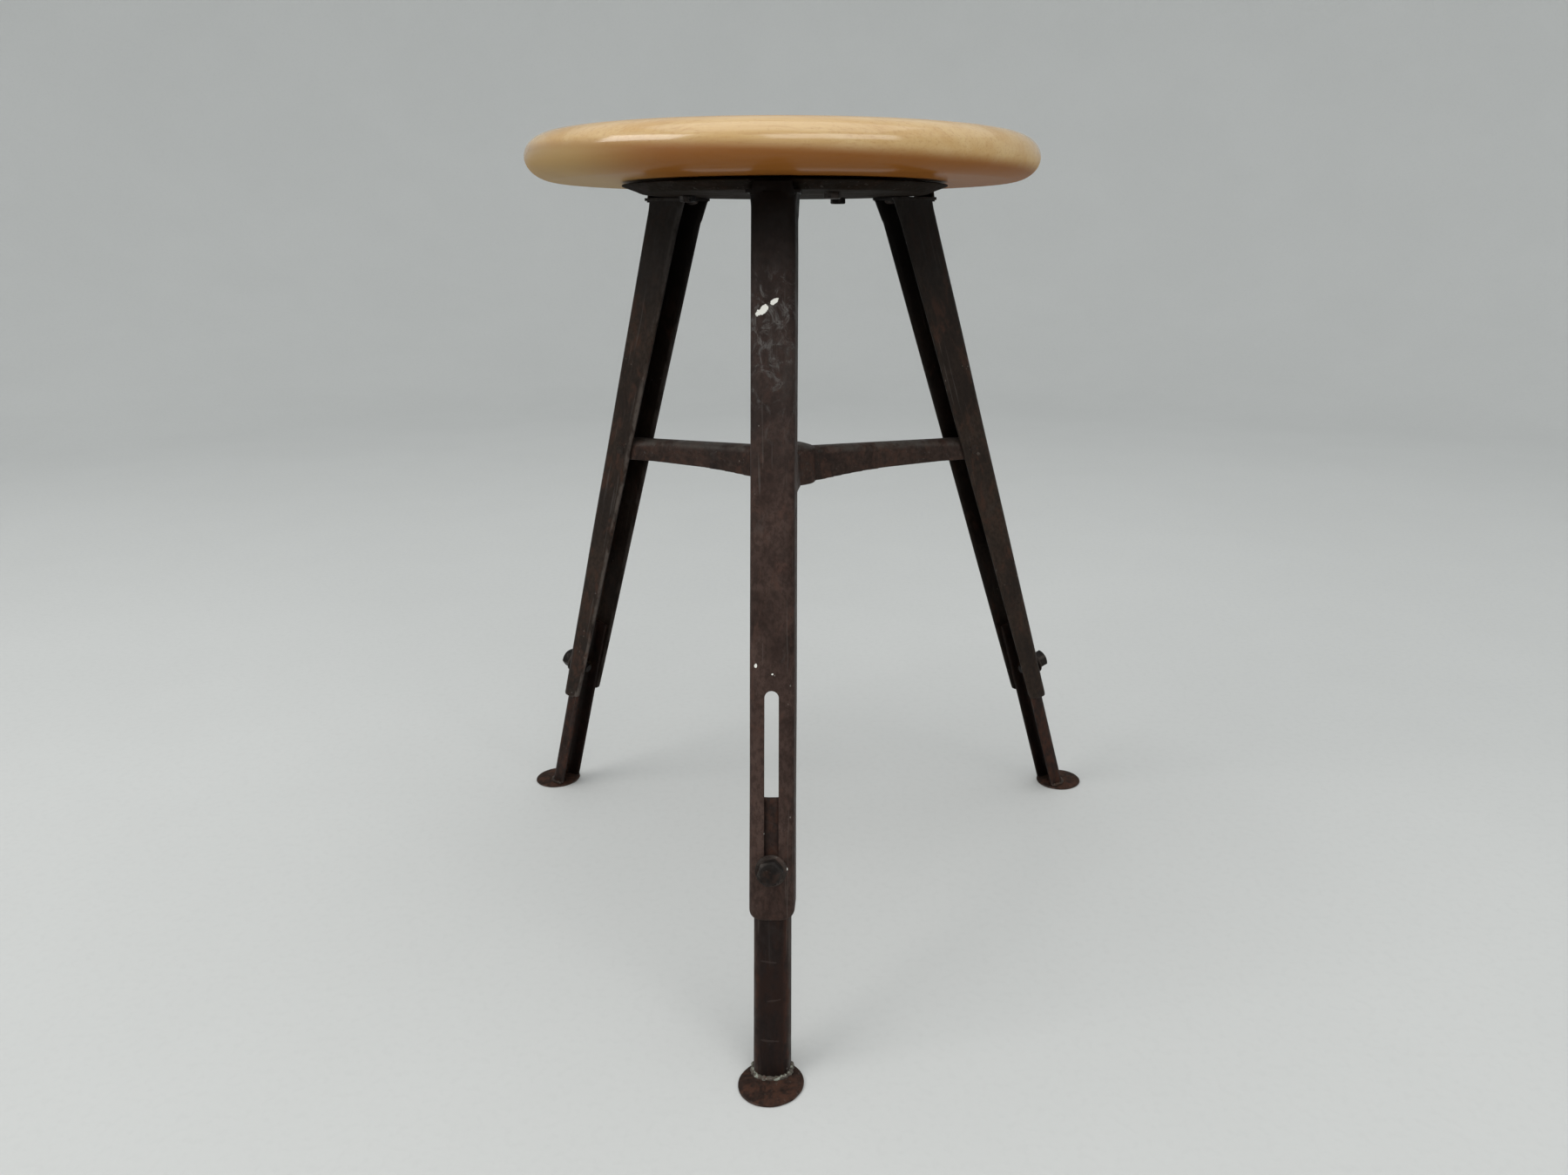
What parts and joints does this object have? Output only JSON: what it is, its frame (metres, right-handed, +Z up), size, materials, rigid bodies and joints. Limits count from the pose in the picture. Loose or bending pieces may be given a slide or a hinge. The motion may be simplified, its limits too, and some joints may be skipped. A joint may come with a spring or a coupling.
{
  "type": "stool",
  "caption": "Round wooden swivel seat on splayed pressed-steel legs that telescope and clamp with bolts, tied by a sheet-metal brace.",
  "frame": {"origin": "on the floor, on the seat's swivel axis, midway between the three feet", "axes": "+Z up along the swivel axis; -Y towards the front leg; +X to the right seen from the front"},
  "size_m": [0.5114, 0.4672, 0.5545],
  "materials": {
    "lacquered_wood": "clear-lacquered pale hardwood, very fine grain",
    "dark_steel": "dark brown-black patina on pressed steel, semi-matte",
    "brown_steel": "red-brown patina, lightly rusted",
    "rusty_steel": "rust-brown foot discs",
    "bolt_steel": "dark oxidised fasteners",
    "plain_steel": "dull bare steel, hidden swivel parts"
  },
  "bodies": {
    "frame": {"seat_pan": "dark_steel", "bearing_ring": "plain_steel", "ring_bolt_1": "bolt_steel", "ring_bolt_2": "bolt_steel", "ring_bolt_3": "bolt_steel", "pivot_bolt": "plain_steel", "pivot_washer": "bolt_steel", "pivot_nut": "bolt_steel", "leg_brace": "brown_steel", "upper_leg_front": "dark_steel", "leg_rivet_front_1": "bolt_steel", "leg_rivet_front_2": "bolt_steel", "brace_rivet_front": "bolt_steel", "upper_leg_right": "dark_steel", "leg_rivet_right_1": "bolt_steel", "leg_rivet_right_2": "bolt_steel", "brace_rivet_right": "bolt_steel", "upper_leg_left": "dark_steel", "leg_rivet_left_1": "bolt_steel", "leg_rivet_left_2": "bolt_steel", "brace_rivet_left": "bolt_steel"},
    "seat": {"seat_board": "lacquered_wood", "swivel_plate": "plain_steel", "seat_screw_1": "plain_steel", "seat_screw_2": "plain_steel", "seat_screw_3": "plain_steel", "seat_screw_4": "plain_steel"},
    "front_leg_extension": {"lower_leg_front": "brown_steel", "foot_pad_front": "rusty_steel", "clamp_nut_front": "bolt_steel", "clamp_washer_front": "bolt_steel"},
    "front_clamp_bolt": {"clamp_bolt_front": "bolt_steel"},
    "right_leg_extension": {"lower_leg_right": "brown_steel", "foot_pad_right": "rusty_steel", "clamp_nut_right": "bolt_steel", "clamp_washer_right": "bolt_steel"},
    "right_clamp_bolt": {"clamp_bolt_right": "bolt_steel"},
    "left_leg_extension": {"lower_leg_left": "brown_steel", "foot_pad_left": "rusty_steel", "clamp_nut_left": "bolt_steel", "clamp_washer_left": "bolt_steel"},
    "left_clamp_bolt": {"clamp_bolt_left": "bolt_steel"}
  },
  "joints": [
    {"name": "seat_swivel", "type": "hinge", "parent": "frame", "child": "seat", "pos_m": [0, 0, 0.5172], "axis": [0, 0, 1], "continuous": true},
    {"name": "front_leg_slide", "type": "slide", "parent": "frame", "child": "front_leg_extension", "axis": [0, 0.2957, 0.9553], "range_m": [-0.002, 0.08]},
    {"name": "front_clamp_turn", "type": "hinge", "parent": "front_leg_extension", "child": "front_clamp_bolt", "pos_m": [0, -0.23654, 0.1246], "axis": [0, -0.9553, 0.2957], "range_deg": [0, 180]},
    {"name": "right_leg_slide", "type": "slide", "parent": "frame", "child": "right_leg_extension", "axis": [-0.2561, -0.1479, 0.9553], "range_m": [-0.002, 0.08]},
    {"name": "right_clamp_turn", "type": "hinge", "parent": "right_leg_extension", "child": "right_clamp_bolt", "pos_m": [0.20485, 0.11827, 0.1246], "axis": [0.8273, 0.4776, 0.2957], "range_deg": [0, 180]},
    {"name": "left_leg_slide", "type": "slide", "parent": "frame", "child": "left_leg_extension", "axis": [0.2561, -0.1479, 0.9553], "range_m": [-0.002, 0.08]},
    {"name": "left_clamp_turn", "type": "hinge", "parent": "left_leg_extension", "child": "left_clamp_bolt", "pos_m": [-0.20485, 0.11827, 0.1246], "axis": [-0.8273, 0.4776, 0.2957], "range_deg": [0, 180]}
  ]
}
